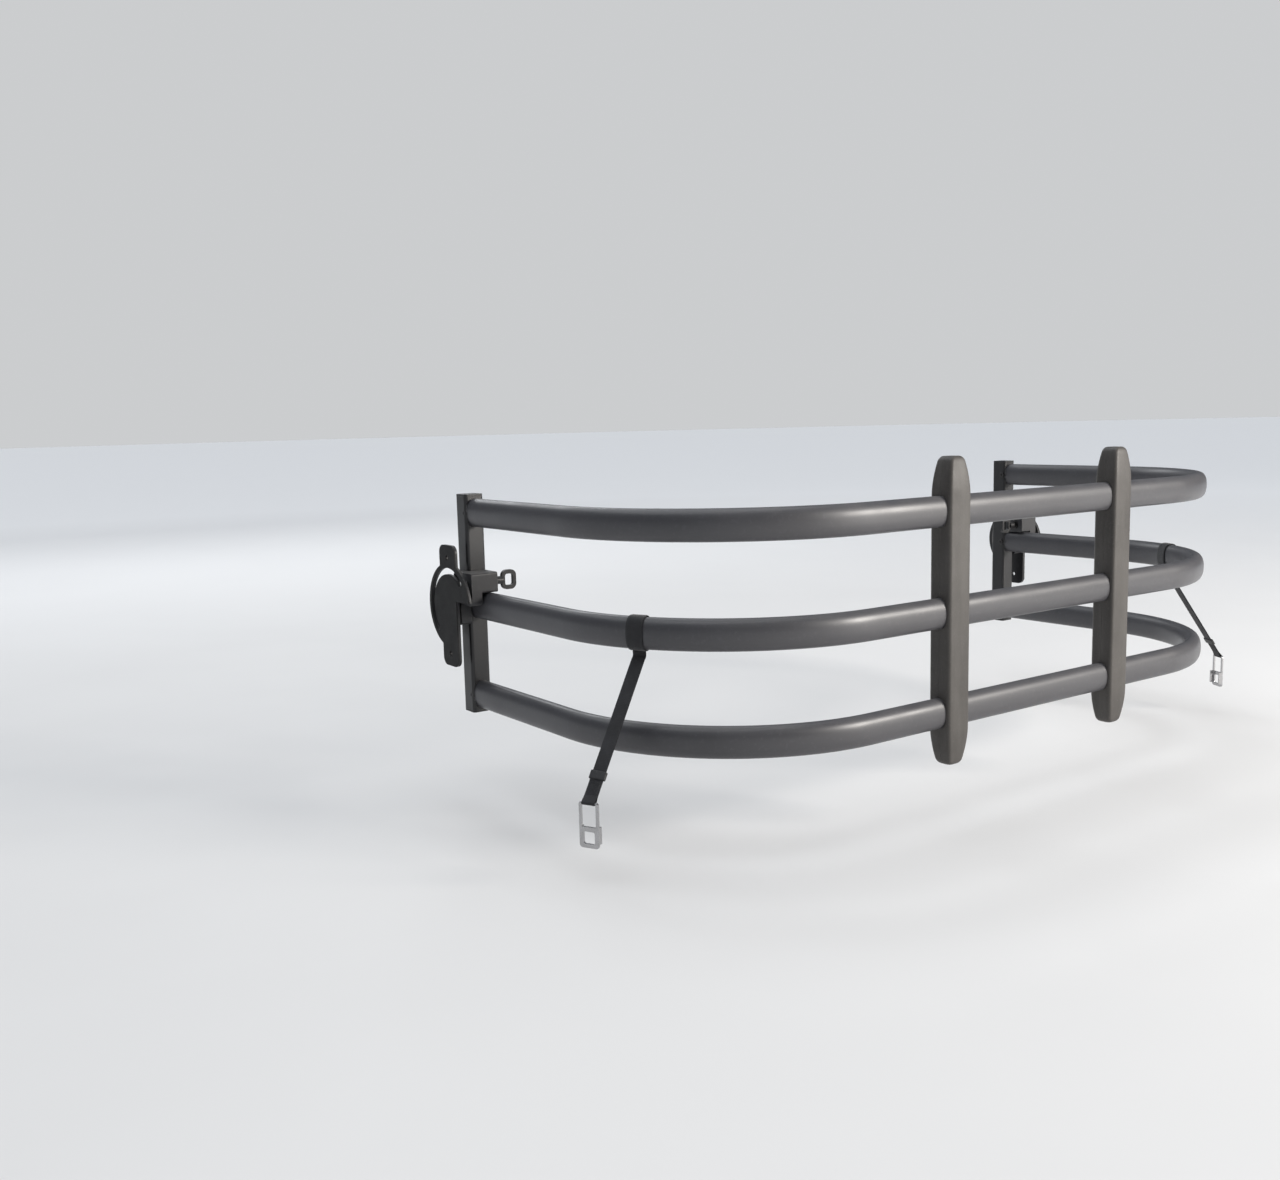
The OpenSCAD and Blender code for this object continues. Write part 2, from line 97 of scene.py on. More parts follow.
class Nodes:
    """A material's node tree, built one call at a time."""

    def __init__(self, name):
        self.mat = bpy.data.materials.new(name)
        self.mat.use_nodes = True
        self.tree = self.mat.node_tree
        self.tree.nodes.clear()
        self.out = self.tree.nodes.new("ShaderNodeOutputMaterial")
        self.bsdf = self.tree.nodes.new("ShaderNodeBsdfPrincipled")
        self.link(self.bsdf.outputs[0], self.out.inputs["Surface"])

    def link(self, a, b):
        self.tree.links.new(a, b)

    def put(self, socket, value):
        """Links or sets a socket; a colour may come as three numbers, and None leaves it."""
        if isinstance(value, bpy.types.NodeSocket):
            self.link(value, socket)
        elif value is not None:
            socket.default_value = (*value, 1.0) if socket.type == "RGBA" else value

    def new(self, kind, **inputs):
        n = self.tree.nodes.new("ShaderNode" + kind)
        for key, value in inputs.items():
            self.put(n.inputs[key], value)
        return n

    def coords(self):
        """Object coordinates, which are the row frame's metres."""
        return self.new("TexCoord").outputs["Object"]

    def attribute(self, name):
        n = self.new("Attribute")
        n.attribute_name = name
        return n.outputs["Vector"]

    def noise(self, vector, scale, detail=3.0, rough=0.55):
        n = self.new("TexNoise", Vector=vector, Scale=scale, Detail=detail, Roughness=rough)
        return n.outputs["Fac"]

    def voronoi(self, vector, scale):
        return self.new("TexVoronoi", Vector=vector, Scale=scale).outputs["Distance"]

    def operate(self, kind, op, a, b):
        """The outputs of a node that works out op on one or two inputs."""
        n = self.new(kind)
        n.operation = op
        self.put(n.inputs[0], a)
        self.put(n.inputs[1], b)
        return n.outputs

    def math(self, op, a, b=None):
        return self.operate("Math", op, a, b)["Value"]

    def vector_math(self, op, a, b=None):
        return self.operate("VectorMath", op, a, b)

    def times(self, a, b):
        return self.math("MULTIPLY", a, b)

    def remap(self, value, lo, hi, to_lo=0.0, to_hi=1.0):
        n = self.new("MapRange", Value=value)
        for key, end in (("From Min", lo), ("From Max", hi), ("To Min", to_lo), ("To Max", to_hi)):
            n.inputs[key].default_value = end
        return n.outputs["Result"]

    def mix(self, factor, a, b):
        n = self.new("Mix")
        n.data_type = "RGBA"
        self.put(n.inputs["Factor"], factor)
        for socket, value in zip(colour_sockets(n.inputs), (a, b)):
            self.put(socket, value)
        return colour_sockets(n.outputs)[0]

    def split(self, vector):
        return self.new("SeparateXYZ", Vector=vector).outputs

    def bump(self, height, strength, distance):
        n = self.new("Bump", Strength=strength, Distance=distance, Height=height)
        last = self.bsdf.inputs["Normal"]
        if last.is_linked:
            self.link(last.links[0].from_socket, n.inputs["Normal"])
        self.link(n.outputs[0], last)

    def up(self):
        """How far a face looks up, 0 to 1."""
        z = self.split(self.new("NewGeometry").outputs["Normal"])[2]
        return self.remap(z, 0.25, 1.0)

    def edges(self, radius):
        """1 on sharp outer edges, from the difference between the rounded and the real normal."""
        soft = self.new("Bevel", Radius=radius)
        soft.samples = 6
        real = self.new("NewGeometry").outputs["Normal"]
        dot = self.vector_math("DOT_PRODUCT", soft.outputs[0], real)["Value"]
        return self.remap(self.math("SUBTRACT", 1.0, dot), 0.02, 0.25)

    def finish(self, colour, roughness, metallic=0.0, **sockets):
        sockets.update(Base_Color=colour, Roughness=roughness, Metallic=metallic)
        for key, value in sockets.items():
            self.put(self.bsdf.inputs[key.replace("_", " ")], value)
        return self.mat


# ---------- materials ----------


def coated(name, colour, dark, dust, rough, grain, grain_mm, wear=None, coat=0.0):
    """Powder coat: fine orange-peel, mottled sheen, dust on what looks up, metal on worn edges."""
    m = Nodes(name)
    at = m.coords()
    cloud = m.noise(at, 7.0, 4.0)
    speck = m.noise(at, 160.0, 2.0)
    tint = m.mix(m.remap(cloud, 0.35, 0.7), colour, dark)
    tint = m.mix(m.times(m.remap(speck, 0.55, 0.8), 0.35), tint, tuple(1.5 * c for c in colour))
    settle = m.times(m.up(), m.remap(m.noise(at, 22.0, 5.0, 0.7), 0.35, 0.75))
    tint = m.mix(m.times(settle, dust), tint, (0.36, 0.34, 0.31))
    smear = m.noise(at, 9.0, 3.0, 0.5)
    r = m.remap(smear, 0.35, 0.7, rough - 0.05, rough + 0.08)
    r = m.math("ADD", r, m.times(settle, 0.18))
    if wear:
        edge = m.times(m.edges(wear), m.remap(m.noise(at, 90.0, 4.0), 0.42, 0.62))
        tint = m.mix(m.times(edge, 0.8), tint, (0.32, 0.32, 0.31))
    m.bump(m.noise(at, 1.0 / grain_mm / MM, 2.0), grain, 0.12 * MM)
    return m.finish(tint, r, Coat_Weight=coat, Coat_Roughness=0.25, Specular_IOR_Level=0.5)


def moulded(name, colour, dark, light, rough, grain_mm, grain=0.5, flow=0.0, wear=None):
    """Moulded plastic: leather-like grain, uneven pigment, pale scuffs on the edges."""
    m = Nodes(name)
    at = m.coords()
    tint = m.mix(m.remap(m.noise(at, 11.0, 5.0, 0.6), 0.32, 0.68), colour, dark)
    fleck = m.remap(m.noise(at, 420.0, 2.0), 0.6, 0.75)
    tint = m.mix(m.times(fleck, 0.5), tint, light)
    if flow:
        drawn = m.vector_math("MULTIPLY", at, (30.0, 30.0, 4.0))["Vector"]
        tint = m.mix(m.remap(m.noise(drawn, 1.5, 4.0), 0.45, 0.75, 0.0, flow), tint, light)
    if wear:
        edge = m.times(m.edges(wear), m.remap(m.noise(at, 55.0, 4.0), 0.38, 0.62))
        tint = m.mix(m.times(edge, 0.7), tint, light)
    cells = m.voronoi(at, 1.0 / grain_mm / MM)
    m.bump(cells, grain, 0.25 * MM)
    m.bump(m.noise(at, 1.0 / grain_mm / MM * 2.3, 2.0), grain * 0.6, 0.12 * MM)
    r = m.remap(m.noise(at, 35.0, 4.0), 0.3, 0.7, rough - 0.06, rough + 0.08)
    return m.finish(tint, r, Specular_IOR_Level=0.45)


def metal(name, colour, stain, rough, brushed, grain=0.25, tarnish=0.4):
    """Bare or plated metal: drawn lines, fingerprints, and tarnish in patches."""
    m = Nodes(name)
    at = m.coords()
    lines = m.noise(m.vector_math("MULTIPLY", at, brushed)["Vector"], 900.0, 3.0)
    patch = m.remap(m.noise(at, 70.0, 5.0, 0.65), 0.45, 0.75)
    tint = m.mix(m.times(patch, tarnish), colour, stain)
    tint = m.mix(m.remap(lines, 0.3, 0.8, 0.0, 0.25), tint, stain)
    r = m.remap(lines, 0.3, 0.7, rough * 0.8, rough * 1.25)
    r = m.math("ADD", r, m.times(patch, 0.15))
    m.bump(lines, grain, 0.05 * MM)
    m.bump(m.noise(at, 240.0, 2.0), 0.1, 0.1 * MM)
    return m.finish(tint, r, 1.0)


def woven(name, colour, light):
    """Polyester webbing, in the strap's own coordinates: X across and Y along, in metres."""
    pitch, zigzag = 1.15 * MM, 5.6 * MM
    m = Nodes(name)
    at = m.attribute("web_uv")
    x, y, _ = m.split(at)
    k = 2 * math.pi / pitch
    warp = m.math("SINE", m.times(x, k))
    saw = m.math("FRACT", m.times(x, 1 / zigzag))
    zig = m.math("ABSOLUTE", m.math("SUBTRACT", saw, 0.5))
    weft = m.math("SINE", m.math("ADD", m.times(y, k * 0.8), m.times(zig, 9.0)))
    weave = m.times(m.math("ADD", m.times(warp, 0.5), weft), 0.5)
    fuzz = m.noise(at, 2600.0, 3.0)
    height = m.math("ADD", weave, m.times(fuzz, 0.6))
    # painted light: the weave's raised threads are painted lighter and its hollows darker, as highlight and shade
    # on its relief, which the bump below also gives
    tint = m.mix(m.remap(height, -0.6, 1.1), colour, light)
    fade = m.remap(m.noise(m.coords(), 45.0, 4.0), 0.45, 0.75, 0.0, 0.35)
    tint = m.mix(fade, tint, tuple(1.6 * c for c in light))
    m.bump(height, 0.55, 0.25 * MM)
    r = m.remap(fuzz, 0.3, 0.7, 0.72, 0.9)
    return m.finish(tint, r, Specular_IOR_Level=0.3, Sheen_Weight=0.25, Sheen_Roughness=0.5)


MAT = {
    "tube_coat": coated("tube_coat", (0.0655, 0.065, 0.071), (0.057, 0.056, 0.061), 0.10, 0.43,
                        0.20, 0.7, coat=0.2),
    "post_coat": coated("post_coat", (0.013, 0.013, 0.014), (0.010, 0.010, 0.011), 0.12, 0.42,
                        0.3, 0.8, wear=1.2 * MM, coat=0.15),
    "composite": moulded("composite", (0.073, 0.067, 0.061), (0.052, 0.047, 0.043),
                         (0.130, 0.123, 0.113), 0.50, 1.1, 0.45, flow=0.30, wear=2.0 * MM),
    "casting_coat": coated("casting_coat", (0.034, 0.034, 0.036), (0.024, 0.024, 0.026), 0.3, 0.42,
                           0.7, 1.3, wear=1.5 * MM),
    "bracket_coat": coated("bracket_coat", (0.026, 0.026, 0.028), (0.018, 0.018, 0.020), 0.2, 0.40,
                           0.5, 0.9, wear=1.0 * MM),
    "zinc_steel": metal("zinc_steel", (0.60, 0.60, 0.58), (0.40, 0.38, 0.33), 0.30,
                        (0.25, 1.0, 1.0)),
    "chrome": metal("chrome", (0.46, 0.46, 0.47), (0.30, 0.29, 0.28), 0.24, (1.0, 1.0, 0.2),
                    0.12, 0.35),
    "black_steel": metal("black_steel", (0.060, 0.060, 0.062), (0.11, 0.10, 0.09), 0.38,
                         (0.4, 1.0, 1.0)),
    "nylon": moulded("nylon", (0.70, 0.68, 0.61), (0.60, 0.57, 0.50), (0.78, 0.77, 0.73), 0.38,
                     0.5, 0.2),
    "webbing": woven("webbing", (0.010, 0.010, 0.011), (0.034, 0.034, 0.037)),
    "rubber": moulded("rubber", (0.018, 0.018, 0.018), (0.012, 0.012, 0.012), (0.05, 0.05, 0.048),
                      0.75, 0.8, 0.4),
    "black_plastic": moulded("black_plastic", (0.022, 0.022, 0.023), (0.016, 0.016, 0.017),
                             (0.075, 0.074, 0.072), 0.42, 0.7, 0.35, wear=1.2 * MM),
}
THREAD = coated("sewing_thread", (0.045, 0.045, 0.048), (0.03, 0.03, 0.032), 0.0, 0.6, 0.6, 0.25)

record = frame["record"]
slot_of = {p["node"]: p["material_slot"] for p in record["subparts"]}
for name, obj in frame["nodes"].items():
    obj.data.materials.clear()
    obj.data.materials.append(MAT[slot_of[name]])

# ---------- CAD parts that stay: rounded edges ----------


def soften(name, width):
    """Rounds a CAD part's sharp edges with modifiers; its own mesh stays as it is."""
    obj = frame["nodes"][name]
    weld = obj.modifiers.new("weld", "WELD")
    weld.merge_threshold = 0.002 * MM
    flat = obj.modifiers.new("flat", "DECIMATE")
    flat.decimate_type = "DISSOLVE"
    flat.angle_limit = math.radians(0.4)
    bevel = obj.modifiers.new("bevel", "BEVEL")
    bevel.width = width * MM
    bevel.segments = 2
    bevel.limit_method = "ANGLE"
    bevel.angle_limit = math.radians(32)
    bevel.use_clamp_overlap = True
    normals = obj.modifiers.new("normals", "WEIGHTED_NORMAL")
    normals.keep_sharp = False
    normals.weight = 80


EDGE_WIDTHS = {          # mm
    "bracket": 0.7, "bracket_gasket": 0.4, "pivot_stud": 0.5, "thrust_washer": 0.3,
    "post_cap_top": 1.4, "post_cap_bottom": 1.4, "tube_bolts": 0.5, "pivot_casting": 1.0,
    "casting_screws": 0.4, "latch_bushing": 0.4, "upright_screws": 0.4, "latch_pin": 0.4,
    "latch_knob": 1.6, "end_post": 0.4, "strap_clip": 0.7,
}
for side in SIDES:
    for part, width in EDGE_WIDTHS.items():
        soften(f"{part}_{side}", width)

# ---------- mesh helpers ----------


def finish_piece(name, bm, material, smooth):
    """Turns a bmesh into a named object, smooth except across edges sharper than smooth degrees."""
    bmesh.ops.recalc_face_normals(bm, faces=bm.faces)
    mesh = bpy.data.meshes.new(name)
    bm.to_mesh(mesh)
    bm.free()
    obj = bpy.data.objects.new(name, mesh)
    bpy.context.scene.collection.objects.link(obj)
    mesh.materials.append(material)
    mesh.polygons.foreach_set("use_smooth", [True] * len(mesh.polygons))
    if smooth < 180:
        mesh.set_sharp_from_angle(angle=math.radians(smooth))
    return obj


def slot_piece(name, bm, slot, smooth, body=None):
    """A piece in a slot's own material, riding a body if one is given."""
    obj = finish_piece(name, bm, MAT[slot], smooth)
    if body:
        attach(obj, body)
    return obj


def circle_points(r, n):
    angles = [2 * math.pi * i / n for i in range(n)]
    return [(r * math.cos(a), r * math.sin(a)) for a in angles]


def rounded(w, h, r, seg):
    """Points round a rectangle w by h with corner radius r, anticlockwise."""
    pts = []
    for cx, cy, start in ((w / 2 - r, h / 2 - r, 0), (r - w / 2, h / 2 - r, 90),
                          (r - w / 2, r - h / 2, 180), (w / 2 - r, r - h / 2, 270)):
        for i in range(seg + 1):
            a = math.radians(start + 90 * i / seg)
            pts.append((cx + r * math.cos(a), cy + r * math.sin(a)))
    return pts


def loft(bm, rings, close=False):
    """Skins rings of the same number of points, capped at both ends or closed on the first."""
    rows = [[bm.verts.new(p) for p in ring] for ring in rings]
    n = len(rows[0])
    pairs = list(zip(rows, rows[1:])) + ([(rows[-1], rows[0])] if close else [])
    for a, b in pairs:
        for i in range(n):
            bm.faces.new((a[i], a[(i + 1) % n], b[(i + 1) % n], b[i]))
    if not close:
        bm.faces.new(rows[0][::-1])
        bm.faces.new(rows[-1])


# ---------- tubes ----------

BEND_R = 0.328           # corner bend of the tubes, at their centre line
TUBE_H, TUBE_D, TUBE_WALL = 0.049, 0.030, 0.0025
TUBE_SQUARE = 2.35       # 2 is an ellipse; more is squarer


def oval_point(angle, grow):
    """A point on the tube's soft oval section, grown by a distance, at an angle from outward."""
    c, v = math.cos(angle), math.sin(angle)
    return (math.copysign(abs(c) ** (2 / TUBE_SQUARE), c) * (TUBE_D / 2 + grow),
            math.copysign(abs(v) ** (2 / TUBE_SQUARE), v) * (TUBE_H / 2 + grow))


def oval_points(grow):
    n = 56
    return [oval_point(2 * math.pi * i / n, grow) for i in range(n)]


def tube(name):
    """One bent oval tube, hollow and open at its ends, smooth all the way round both corners."""
    lo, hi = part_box(name)
    half_span, run_y, level = hi.x - TUBE_D / 2, lo.y + TUBE_D / 2, (lo.z + hi.z) / 2
    corner_x, corner_y = half_span - BEND_R, run_y + BEND_R
    run = [(corner_x * i / 6, run_y, -90.0) for i in range(-6, 7)]
    leg = []
    for i in range(1, 61):
        a = -90 + 1.5 * i
        leg.append((corner_x + BEND_R * math.cos(math.radians(a)),
                    corner_y + BEND_R * math.sin(math.radians(a)), a))
    leg += [(half_span, corner_y + (hi.y - corner_y) * i / 8, 0.0) for i in range(1, 9)]
    line = [(-x, y, 180 - a) for x, y, a in reversed(leg)] + run + leg

    def section(grow, x, y, a):
        out = Vector((math.cos(math.radians(a)), math.sin(math.radians(a)), 0))
        return [Vector((x, y, level)) + u * out + Vector((0, 0, v)) for u, v in oval_points(grow)]

    bm = bmesh.new()
    loft(bm, [section(0, *p) for p in line] + [section(-TUBE_WALL, *p) for p in reversed(line)],
         close=True)
    obj = slot_piece(f"{name}_smooth", bm, "tube_coat", 50, "frame")
    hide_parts(name)


for name in ("top_tube", "middle_tube", "bottom_tube"):
    tube(name)

# ---------- straps ----------

joint = {j["name"]: j for j in frame["joints"]}
WEB_W, WEB_T = 0.022, 0.00115        # one layer of the strap
LOOP_W, LOOP_T = 0.0266, 0.00118     # one turn of the wrap
LAYER_GAP = 0.00008                  # between the strap's two layers
WEB_PLAY = 0.00012                   # between webbing and the clip's bar, and under the thread
RIB_PITCH = 0.0024                   # of the ribs across the webbing's face
SELVAGE_RISE, FACE_DROP = 0.00012, 0.00006
BAR_R = 0.0020                       # the clip's top bar
TAB_UP, EYE_UP = 0.0076, 0.012       # how far the layers run above the fold and above the bar
STITCH, STITCH_GAP, THREAD_R = 0.0024, 0.0008, 0.00034


class StrapPlace:
    """Axes where a strap hangs, from the CAD's joints: out of the tube, forward along it, up."""

    def __init__(self, side):
        self.s = SIDES[side]
        swing, turn = joint[f"strap_swing_{side}"], joint[f"clip_swing_{side}"]
        self.fold = Vector(swing["pos_m"])
        self.bar = Vector(turn["pos_m"])
        t = Vector(swing["axis"]).normalized()
        self.t = t if t.y > 0 else -t
        self.out = self.t.cross(Vector((0, 0, 1))) * self.s
        self.run = (self.bar - self.fold).dot(self.t)
        flat = self.bar - self.fold - self.run * self.t
        self.drop = flat.length
        self.down = flat.normalized()
        self.face = (self.down.cross(self.t) * self.s).normalized()
        if self.face.dot(self.out) < 0:
            self.face = -self.face
        on_tube = self.fold.copy()
        on_tube.z = 0
        self.centre = on_tube - BEND_R * self.out

    def hang(self, x, y, z):
        """x out of the tube, y forward, z up, from the fold line."""
        return self.fold + x * self.out + y * self.t + Vector((0, 0, z))

    def strap(self, x, y, down):
        """x out of the webbing, y forward, from the fold line down the strap."""
        along = y + self.run * down / self.drop
        return self.fold + x * self.face + along * self.t + down * self.down

    def ring(self, x, y, z):
        """x out of the tube's centre line, y along its bend, z up."""
        turned = Matrix.Rotation(self.s * y / BEND_R, 3, "Z") @ self.out
        return self.centre + (BEND_R + x) * turned + Vector((0, 0, z))


def resample(points, step):
    """Evenly spaced points along a polyline, with the distance of each."""
    total = [0.0]
    for a, b in zip(points, points[1:]):
        total.append(total[-1] + math.dist(a, b))
    n = max(2, round(total[-1] / step))
    out, k = [], 0
    for i in range(n + 1):
        d = total[-1] * i / n
        while k < len(points) - 2 and total[k + 1] < d:
            k += 1
        f = (d - total[k]) / max(1e-12, total[k + 1] - total[k])
        out.append(([a + f * (b - a) for a, b in zip(points[k], points[k + 1])], d))
    return out


def ribbon(name, path, width, thick, put, rib=0.00007):
    """A flat woven band along a path of (x, z) points; put(x, y, z) places it. Selvages are
    thicker and the face is ribbed, as narrow webbing is."""
    across = 12
    stations = resample(path, 0.0006)
    bm = bmesh.new()
    layer = bm.verts.layers.float_vector.new("web_uv")
    rows = []
    for i, (p, s) in enumerate(stations):
        a = stations[max(0, i - 1)][0]
        b = stations[min(len(stations) - 1, i + 1)][0]
        tx, tz = b[0] - a[0], b[1] - a[1]
        length = math.hypot(tx, tz) or 1.0
        nx, nz = -tz / length, tx / length
        wave = rib * math.cos(2 * math.pi * s / RIB_PITCH)
        row = []
        for face in (1, -1):
            for k in range(across + 1):
                u = (k / across - 0.5) * face
                on_edge = abs(u) > 0.4999
                if on_edge and face == -1:
                    continue
                edge = min(1.0, (0.5 - abs(u)) * width / (0.45 * thick))
                half = thick / 2 * math.sqrt(max(0.0, 1 - (1 - edge) ** 2))
                selvage = SELVAGE_RISE * max(0.0, 1 - abs(abs(u) - 0.44) / 0.04)
                h = 0.0 if on_edge else face * (half + (wave + selvage) * edge - FACE_DROP)
                v = bm.verts.new(put(p[0] + nx * h, u * width, p[1] + nz * h))
                v[layer] = (u * width, s, 0.0)
                row.append(v)
        rows.append(row)
    n = len(rows[0])
    for ra, rb in zip(rows, rows[1:]):
        for k in range(n):
            bm.faces.new((ra[k], ra[(k + 1) % n], rb[(k + 1) % n], rb[k]))
    bm.faces.new(rows[0][::-1])
    bm.faces.new(rows[-1])
    return slot_piece(name, bm, "webbing", 60)


def stitches(name, runs, put, body):
    """Rows of sewing thread: runs is a list of ((y0, d0), (y1, d1), face), and
    put(face, y, d, lift) places a point."""
    bm = bmesh.new()
    for start, end, face in runs:
        reach = math.dist(start, end)
        count = max(1, round(reach / (STITCH + STITCH_GAP)))
        for i in range(count):
            f0 = i / count
            f1 = f0 + STITCH / (STITCH + STITCH_GAP) / count
            rings = []
            for j in range(7):
                f = f0 + (f1 - f0) * j / 6
                y = start[0] + f * (end[0] - start[0])
                d = start[1] + f * (end[1] - start[1])
                lift = THREAD_R * 0.9 * math.sin(math.pi * j / 6)
                c = put(face, y, d, lift)
                near = [p + 1e-4 * (q - r) / reach for p, q, r in zip((y, d), end, start)]
                ahead = (put(face, *near, lift) - c).normalized()
                up = (put(face, y, d, lift + 1e-4) - c).normalized()
                across = ahead.cross(up)
                swell = math.sin(math.pi * min(1, max(0, (j + 0.4) / 6.8)))
                rings.append([c + (0.35 + 0.65 * swell) * (a * across + 0.8 * b * up)
                              for a, b in circle_points(THREAD_R, 6)])
            loft(bm, rings)
    obj = finish_piece(name, bm, THREAD, 180)
    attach(obj, body)


def wrap_path(offset0, offset1, turns):
    """Points round the tube's section, spiralling from one offset to another."""
    n = int(96 * turns)
    grow = (offset1 - offset0) / n
    return [oval_point(math.radians(360 * turns * i / n - 90), offset0 + grow * i)
            for i in range(n + 1)]


def strap(side):
    """A strap with its sewing, and the wrap that holds it to the middle tube."""
    place = StrapPlace(side)
    d = place.drop

    wrap = ribbon(f"strap_wrap_{side}", wrap_path(0.00098, 0.00225, 2.0), LOOP_W, LOOP_T,
                  place.ring, rib=0.00006)
    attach(wrap, "frame")
    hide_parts(f"strap_loop_{side}")

    # the doubled strap: down one layer, round the clip's bar, and back up the other
    half = (WEB_T + LAYER_GAP) / 2
    r_eye = BAR_R + WEB_PLAY + WEB_T / 2
    phi = math.atan2(EYE_UP, half) - math.acos(r_eye / math.hypot(half, EYE_UP))
    path = [(half, TAB_UP), (half, EYE_UP - d)]
    for i in range(33):
        a = phi - (math.pi + 2 * phi) * i / 32
        path.append((r_eye * math.cos(a), -d + r_eye * math.sin(a)))
    path += [(-half, EYE_UP - d), (-half, TAB_UP)]

    def hung(x, y, z):
        """In the strap's plane below the fold, and bending upright into the tab above it."""
        below, above = 0.007, 0.004
        low = place.strap(x, y, -z)
        if z < -below:
            return low
        f = min(1.0, (z + below) / (below + above))
        return low.lerp(place.hang(x, y, z), f * f * (3 - 2 * f))

    web = ribbon(f"strap_webbing_{side}", path, WEB_W, WEB_T, hung)
    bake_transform(web)
    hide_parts(f"strap_web_{side}")

    # sewing: a box with a cross above the clip, and bar tacks at the tab
    w, low_d, high_d = 0.0083, d - 0.0135, d - 0.031
    corners = [(-w, low_d), (w, low_d), (w, high_d), (-w, high_d)]
    order = ((0, 1), (1, 2), (2, 3), (3, 0), (0, 2), (1, 3))
    box = [(corners[a], corners[b], face) for face in (1, -1) for a, b in order]

    def on_strap(face, y, dist, lift):
        return place.strap(face * (WEB_T + WEB_PLAY + lift), y, dist)

    stitches(f"strap_stitching_{side}", box, on_strap, f"strap_{side}")

    def on_wrap(face, y, dist, lift):
        return place.ring(face * dist, y, -TUBE_H / 2 - 0.0029 - lift)

    tacks = [((-0.0095, dist), (0.0095, dist), face)
             for face in (1, -1) for dist in (0.0042, 0.0062)]
    stitches(f"tab_stitching_{side}", tacks, on_wrap, "frame")


for side in SIDES:
    strap(side)

# ---------- sliders ----------

SLIDER_L, SLIDER_W, SLIDER_T = 0.0130, 0.0266, 0.0054
SLIDER_SLOT = (0.0031, WEB_W + 0.0013)
SLIDER_ROUND = 0.0011    # radius of its ends
GRIP = 0.00035           # depth of its ribs
GRIP_PITCH = 0.128       # share of its length


def slider(side):
    """A moulded sleeve on the strap: rounded ends and grip ribs."""
    place = StrapPlace(side)
    lo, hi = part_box(f"strap_slider_{side}")
    dist = ((Vector(lo) + Vector(hi)) / 2 - place.fold).dot(place.down)
    slant = math.atan2(place.run, place.drop)
    down = (place.down * math.cos(slant) + place.t * math.sin(slant)).normalized()
    wide = (place.t * math.cos(slant) - place.down * math.sin(slant)).normalized()
    centre = place.strap(0, 0, dist)

    def at(x, y, z):
        return centre + x * place.face + y * wide + z * down

    outer, inner = [], []
    n = 44
    for i in range(n + 1):
        f = i / n
        z = (f - 0.5) * SLIDER_L
        end = min(1.0, min(f, 1 - f) * SLIDER_L / SLIDER_ROUND)
        inset = SLIDER_ROUND * (1 - math.sqrt(max(0.0, 1 - (1 - end) ** 2)))
        rib = 0.0
        if 0.18 < f < 0.82:
            rib = GRIP * (0.5 - 0.5 * math.cos(2 * math.pi * (f - 0.18) / GRIP_PITCH))
        ring = []
        for x, y in rounded(SLIDER_T - 2 * inset, SLIDER_W - 2 * inset, 0.0014, 5):
            if abs(y) < SLIDER_W / 2 - 0.002:
                x -= math.copysign(rib, x)
            ring.append(at(x, y, z))
        outer.append(ring)
        grow = 0.004 * max(0.0, abs(z) / (SLIDER_L / 2) - 0.9)
        slot = rounded(SLIDER_SLOT[0] + grow, SLIDER_SLOT[1] + grow, 0.0006, 5)
        inner.append([at(x, y, z) for x, y in slot])
    bm = bmesh.new()
    loft(bm, outer + inner[::-1], close=True)
    obj = slot_piece(f"slider_{side}", bm, "black_plastic", 50, f"strap_{side}")
    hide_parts(f"strap_slider_{side}")


# ---------- latch springs ----------

WIRE_R, COIL_TURNS, COIL_STEPS = 0.00065, 9, 28


def coil(side):
    """The latch spring as a coil with closed ends, built at one fixed length, though the real spring shortens as
    the pin is pulled.
    """
    lo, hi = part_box(f"latch_spring_{side}")
    cy, cz = (lo.y + hi.y) / 2, (lo.z + hi.z) / 2
    length = hi.x - lo.x
    r = (hi.z - lo.z) / 2 - WIRE_R
    bm = bmesh.new()
    rings = []
    for i in range(COIL_TURNS * COIL_STEPS + 1):
        turn = i / COIL_STEPS
        share = min(max((turn - 1) / (COIL_TURNS - 2), 0), 1)
        out = Vector((0, math.cos(2 * math.pi * turn), math.sin(2 * math.pi * turn)))
        c = Vector((lo.x + WIRE_R + (length - 2 * WIRE_R) * share, cy, cz)) + r * out
        rings.append([c + a * out + Vector((b, 0, 0)) for a, b in circle_points(WIRE_R, 10)])
    loft(bm, rings)
    obj = slot_piece(f"spring_coil_{side}", bm, "zinc_steel", 180, "frame")
    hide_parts(f"latch_spring_{side}")
    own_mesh(obj)


for side in SIDES:
    slider(side)
    coil(side)

# ---------- uprights ----------

UP_W, UP_D, UP_TAPER = 0.025, 0.021, 0.062       # half width, half depth, tapered end's height
SEAM_GAP = 0.0001                                # half the joint between the two shells
UP_SIDE_LOSS, UP_FACE_LOSS, UP_CORNER = 0.010, 0.007, 0.0068
TUBE_LEVELS = (-0.160, 0, 0.160)
SCREW_LEVELS = (-0.207, -0.080, 0.080, 0.207)
SCREW_DEEP, SCREW_WELL_R = 0.0042, 0.0048
END_RINGS = (0, .04, .1, .17, .25, .33, .42, .5, .58, .66, .73, .8, .86, .9, .925, .945, .96, .975,
             .987, .995, 1)


def drawn_in(f):
    """Share of the width lost at a share of the tapered end's height, rounding over at the tip."""
    tip = max(0.0, (f - 0.87) / 0.13)
    return 0.93 * f ** 1.9 + 0.55 * (1 - math.sqrt(max(0.0, 1 - tip * tip)))


